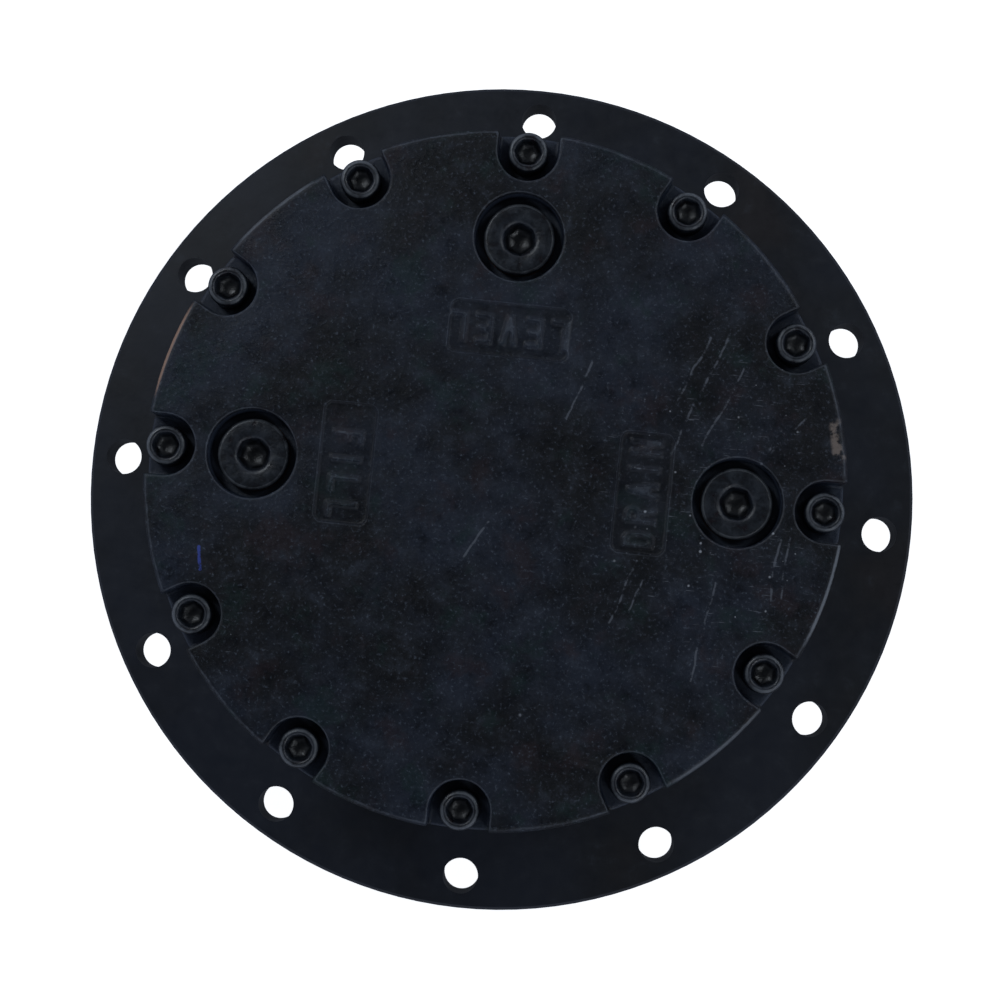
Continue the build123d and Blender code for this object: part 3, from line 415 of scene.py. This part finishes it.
def studio_paper():
    """Matt white studio paper, lit to read as clean white, and clear from below to show the underside."""
    made, tree, shader, mm = material("white_studio_paper")
    fibre = add(tree, "ShaderNodeTexNoise", {"Vector": mm, "Scale": 1 / 40, "Detail": 3.0})
    tone = laid_over(tree, colour("#f4f4f4"), colour("#fbfbfb"), fibre, 0.2, 0.8)
    tree.links.new(tone, shader.inputs["Base Color"])
    shader.inputs["Roughness"].default_value = 0.9
    shader.inputs["Emission Color"].default_value = (1.0, 1.0, 1.0, 1.0)
    shader.inputs["Emission Strength"].default_value = 0.8
    side = add(tree, "ShaderNodeNewGeometry").outputs["Backfacing"]
    clear = add(tree, "ShaderNodeBsdfTransparent")
    one_sided = add(tree, "ShaderNodeMixShader", {0: side, 1: shader, 2: clear})
    tree.links.new(one_sided.outputs[0], tree.nodes["Material Output"].inputs["Surface"])
    return made


finishes = {
    "painted_casting": cover_enamel(),
    "painted_hub": machined_enamel(),
    "painted_fastener": screw_enamel("enamel_on_cap_screws", SCREW_CIRCLE, SCREW_STEP,
                                     SCREW_EDGE, SCREW_SOCKET),
    "painted_plug": screw_enamel("enamel_on_oil_plugs", PLUG_CIRCLE, PLUG_STEP,
                                 PLUG_EDGE, PLUG_SOCKET),
    "gear_steel": bare_metal("ground_gear_steel", "#6f7173", "#8c8e90", 0.32, 1.5),
    "bearing_steel": bare_metal("polished_bearing_steel", "#8b8d90", "#a9abad", 0.14, 3.0),
    "machined_iron": bare_metal("milled_ductile_iron", "#4a4a4b", "#5e5e5f", 0.42, 1.2),
    "bronze": bare_metal("turned_tin_bronze", "#8a6434", "#a87f48", 0.35, 1.5),
    "copper_washer": bare_metal("annealed_copper", "#94543a", "#b87355", 0.38, 1.2),
    "seal_rubber": nitrile_rubber(),
}
for part in frame["record"]["subparts"]:
    slots = nodes[part["node"]].data.materials
    slots.clear()
    slots.append(finishes[part["material_slot"]])


# ---------------------------------------------------------------- painted pieces
PAINT_VOXEL = 0.7  # millimetres, fine enough for the cover's raised letters
PAINT_FLOW = 2  # passes of smoothing: the paint rounds an edge by about half a millimetre
SAME_POINT = 0.01  # millimetres
MOST_TRIANGLES = 190_000


def settled(made):
    """The object with its modifiers' result as its plain mesh, and no modifiers."""
    graph = bpy.context.evaluated_depsgraph_get()
    mesh = bpy.data.meshes.new_from_object(made.evaluated_get(graph))
    made.modifiers.clear()
    made.data = mesh
    return made


def stands_for(made, node):
    """Sets a finished piece in a hub node's place."""
    made.data.polygons.foreach_set("use_smooth", [True] * len(made.data.polygons))
    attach(made, "hub")
    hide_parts(node)


def painted_cover():
    """The cover's casting with its edges, pads and letters rounded over by thick paint."""
    merged = bmesh.new()
    merged.from_mesh(nodes["cover"].data)
    bmesh.ops.remove_doubles(merged, verts=merged.verts, dist=SAME_POINT * MM)
    mesh = bpy.data.meshes.new("painted_cover")
    merged.to_mesh(mesh)
    merged.free()
    made = new_object("painted_cover", mesh)
    skin = made.modifiers.new("skin", "REMESH")
    skin.mode = "VOXEL"
    skin.voxel_size = PAINT_VOXEL * MM
    flow = made.modifiers.new("flow", "SMOOTH")
    flow.factor = 0.5
    flow.iterations = PAINT_FLOW
    settled(made)
    thin = made.modifiers.new("thin", "DECIMATE")
    thin.ratio = min(1.0, MOST_TRIANGLES / (2 * len(made.data.polygons)))
    settled(made)
    made.data.materials.clear()
    made.data.materials.append(finishes["painted_casting"])
    stands_for(made, "cover")


# rows of a painted socket screw, from the foot up and into the socket: radius from the axis, height from the
# top of the head, both in millimetres, and how far the row is a hexagon, with the radius across its flats
def cap_screw_rows(foot):
    neck = -HEAD_HEIGHT
    return (
        (SHANK_RADIUS - 0.9, foot, 0), (SHANK_RADIUS, foot + 0.9, 0), (SHANK_RADIUS, neck, 0),
        (HEAD_RADIUS - 0.5, neck, 0), (HEAD_RADIUS, neck + 0.5, 0), (HEAD_RADIUS, -2.0, 0),
        (8.86, -1.25, 0), (8.45, -0.6, 0), (7.8, -0.15, 0), (7.1, 0, 0), (6.5, -0.1, 0), (6.0, -0.45, 0.1),
        (5.6, -1.0, 0.3), (5.3, -1.8, 0.6), (5.1, -3.0, 0.8), (4.7, -4.4, 0.7), (3.8, -5.4, 0.4),
        (2.4, -6.0, 0.1), (0.8, -6.2, 0),
    )


def oil_plug_rows(foot):
    neck = -COLLAR_HEIGHT
    return (
        (PLUG_RADIUS - 1.2, foot, 0), (PLUG_RADIUS, foot + 1.2, 0), (PLUG_RADIUS, neck, 0),
        (COLLAR_RADIUS - 0.3, neck, 0), (COLLAR_RADIUS, neck + 0.3, 0), (COLLAR_RADIUS, -1.5, 0),
        (15.85, -0.9, 0), (15.45, -0.42, 0), (14.9, -0.12, 0), (14.2, 0, 0), (11.5, -0.05, 0),
        (9.2, -0.1, 0), (8.2, -0.3, 0), (7.4, -0.75, 0.1), (6.8, -1.5, 0.35), (6.4, -2.6, 0.65),
        (6.2, -4.2, 0.8), (5.7, -5.8, 0.7), (4.6, -7.0, 0.4), (2.8, -7.8, 0.1), (0.9, -8.0, 0),
    )


def turned(name, rows, top, sides=48):
    """A closed mesh turned on the Z axis from rows of radius, height and share of hexagon."""
    points, faces = [], []
    for radius, height, share in rows:
        for i in range(sides):
            angle = math.tau * i / sides
            flat = radius / math.cos((angle + math.pi / 6) % (math.pi / 3) - math.pi / 6)
            reach = radius + (flat - radius) * share
            points.append((reach * math.cos(angle) * MM, reach * math.sin(angle) * MM, (height + top) * MM))
    for row in range(len(rows) - 1):
        low, high = row * sides, (row + 1) * sides
        faces += [(low + i, low + (i + 1) % sides, high + (i + 1) % sides, high + i) for i in range(sides)]
    faces.append(tuple(reversed(range(sides))))
    faces.append(tuple(range(len(points) - sides, len(points))))
    mesh = bpy.data.meshes.new(name)
    mesh.from_pydata(points, [], faces)
    return mesh


def ring_tree():
    """Sets copies of the piece it is given on a circle, each turned at random about its own axis."""
    tree = bpy.data.node_groups.new("set_on_a_circle", "GeometryNodeTree")
    ports = tree.interface
    ports.new_socket("Geometry", in_out="INPUT", socket_type="NodeSocketGeometry")
    for name, kind in (("Count", "Int"), ("Circle Radius", "Float"), ("First Angle", "Float"),
                       ("Step", "Float"), ("Seed", "Int"), ("Finish", "Material")):
        ports.new_socket(name, in_out="INPUT", socket_type="NodeSocket" + kind)
    ports.new_socket("Geometry", in_out="OUTPUT", socket_type="NodeSocketGeometry")
    given = add(tree, "NodeGroupInput").outputs
    index = add(tree, "GeometryNodeInputIndex")
    angle = add(tree, "ShaderNodeMath", {0: index, 1: given["Step"], 2: given["First Angle"]},
                operation="MULTIPLY_ADD")
    along = add(tree, "ShaderNodeMath", {0: angle}, operation="COSINE")
    across = add(tree, "ShaderNodeMath", {0: angle}, operation="SINE")
    spot = add(tree, "ShaderNodeCombineXYZ", {
        0: add(tree, "ShaderNodeMath", {0: along, 1: given["Circle Radius"]}, operation="MULTIPLY"),
        1: add(tree, "ShaderNodeMath", {0: across, 1: given["Circle Radius"]}, operation="MULTIPLY"),
    })
    points = add(tree, "GeometryNodePoints", {"Count": given["Count"], "Position": spot})
    chance = add(tree, "FunctionNodeRandomValue", {2: 0.0, 3: math.tau, "Seed": given["Seed"]},
                 data_type="FLOAT")
    turn = add(tree, "ShaderNodeCombineXYZ", {2: chance.outputs[1]})
    placed = add(tree, "GeometryNodeInstanceOnPoints",
                 {"Points": points, "Instance": given["Geometry"], "Rotation": turn})
    real = add(tree, "GeometryNodeRealizeInstances", {"Geometry": placed})
    finished = add(tree, "GeometryNodeSetMaterial", {"Geometry": real, "Material": given["Finish"]})
    add(tree, "NodeGroupOutput", {0: finished})
    return tree


set_on_a_circle = ring_tree()


def set_round(name, mesh, node, slot, **inputs):
    """Copies of a mesh set round the drive's axis by Geometry Nodes, in a hub node's place."""
    made = new_object(name, mesh)
    ring = made.modifiers.new("ring", "NODES")
    ring.node_group = set_on_a_circle
    inputs["Finish"] = finishes[slot]
    for port in set_on_a_circle.interface.items_tree:
        if port.name in inputs:
            ring[port.identifier] = inputs[port.name]
    settled(made)
    stands_for(made, node)


painted_cover()
cap_screw = turned("cap_screw", cap_screw_rows(screws_low.z - screws_high.z), screws_high.z)
set_round("painted_cover_screws", cap_screw, "cover_screws", "painted_fastener", Count=SCREWS, Seed=5,
          **{"Circle Radius": SCREW_CIRCLE * MM, "First Angle": 0.0, "Step": math.tau / SCREWS})
for seed, (node, degrees) in enumerate(PLUGS.items()):
    oil_plug = turned("oil_plug", oil_plug_rows(plug_low.z - plug_high.z), plug_high.z)
    set_round("painted_" + node, oil_plug, node, "painted_plug", Count=1, Seed=seed,
              **{"Circle Radius": PLUG_CIRCLE * MM, "First Angle": math.radians(degrees), "Step": 0.0})


# ---------------------------------------------------------------- floor, light and camera
FLOOR_REACH = 20.0  # metres, past the horizon of a low view
FLOOR_HEIGHT = -0.0001  # metres, a hair under the drive's mounting face


def floor():
    """A white floor that the drive stands on. It throws no light back, so that the enamel stays deep."""
    mesh = bpy.data.meshes.new("floor")
    quarters = ((-1, -1), (1, -1), (1, 1), (-1, 1))
    corners = [(x * FLOOR_REACH, y * FLOOR_REACH, FLOOR_HEIGHT) for x, y in quarters]
    mesh.from_pydata(corners, [], [(0, 1, 2, 3)])
    mesh.materials.append(studio_paper())
    made = new_object("floor", mesh)
    made.visible_diffuse = False
    made.visible_glossy = False


def aim(thing, target, up):
    """Turns a camera or light at target, with its own +Y nearest to up."""
    back = (thing.location - target).normalized()
    side = up.cross(back).normalized()
    top = back.cross(side)
    thing.rotation_euler = Matrix((side, top, back)).transposed().to_euler()


VIEW_TURN = math.radians(5.96)  # the drive is turned this far from upright in the view
VIEW_RIGHT = Vector((math.cos(VIEW_TURN), math.sin(VIEW_TURN), 0))
VIEW_UP = Vector((-math.sin(VIEW_TURN), math.cos(VIEW_TURN), 0))
face = Vector((0, 0, FLANGE_TOP))
LIGHT_WIDTH = 0.4  # metres
LIGHT_TINT = (0.86, 0.93, 1.0)  # a cool north sky
CAMERA_PLACE = (0.0231, -0.0645, 1.117)  # metres to the right, up the view and above the flange's face
CAMERA_TARGET = -0.0024  # metres up the view from the axis
LENS = 80.5  # millimetres, on a sensor 36 mm wide
# lights: name; metres to the right, up the view and above the flange's face; watts
LIGHTS = (("window", (-0.8, 0.8, 1.3), 5.4), ("far_window", (1.0, 0.5, 1.1), 2.4),
          ("low_window", (0.7, -0.9, 1.2), 2.8))


def in_view(right, up, height):
    """A place given in metres to the right, up the view and above the flange's face."""
    return face + VIEW_RIGHT * right + VIEW_UP * up + Vector((0, 0, height))


def area_light(name, place, power):
    """A round window lit by a cool sky, aimed at the flange."""
    data = bpy.data.lights.new(name, "AREA")
    data.shape = "DISK"
    data.size = LIGHT_WIDTH
    data.energy = power
    data.color = LIGHT_TINT
    made = new_object(name, data)
    made.location = in_view(*place)
    aim(made, face, VIEW_UP)


def camera():
    """Looks almost straight down on the cover, from a little below its middle in the view."""
    data = bpy.data.cameras.new("camera")
    data.lens = LENS
    data.sensor_width = 36.0
    data.clip_end = FLOOR_REACH
    made = new_object("camera", data)
    made.location = in_view(*CAMERA_PLACE)
    aim(made, in_view(0, CAMERA_TARGET, 0), VIEW_UP)
    bpy.context.scene.camera = made


def sky():
    """A room with pale walls and a dark ceiling and floor: sides and rounded edges catch the light."""
    world = bpy.data.worlds.new("studio")
    world.use_nodes = True
    tree = world.node_tree
    place = add(tree, "ShaderNodeTexCoord")
    height = add(tree, "ShaderNodeSeparateXYZ", {0: place.outputs["Generated"]}).outputs[2]
    rise = add(tree, "ShaderNodeMapRange", {0: height, 1: -0.15, 2: 0.05, 3: 0.1, 4: 1.0})
    fall = add(tree, "ShaderNodeMapRange", {0: height, 1: 0.3, 2: 0.7, 3: 1.0, 4: 0.06})
    walls = add(tree, "ShaderNodeMath", {0: rise, 1: fall}, operation="MULTIPLY")
    tree.links.new(walls.outputs[0], tree.nodes["Background"].inputs[1])
    tree.nodes["Background"].inputs[0].default_value = colour("#dde8ff")
    bpy.context.scene.world = world


def studio():
    """The floor, the camera, the lights and the room."""
    floor()
    camera()
    for name, place, power in LIGHTS:
        area_light(name, place, power)
    sky()
    bpy.context.scene.view_settings.view_transform = "Standard"


studio()
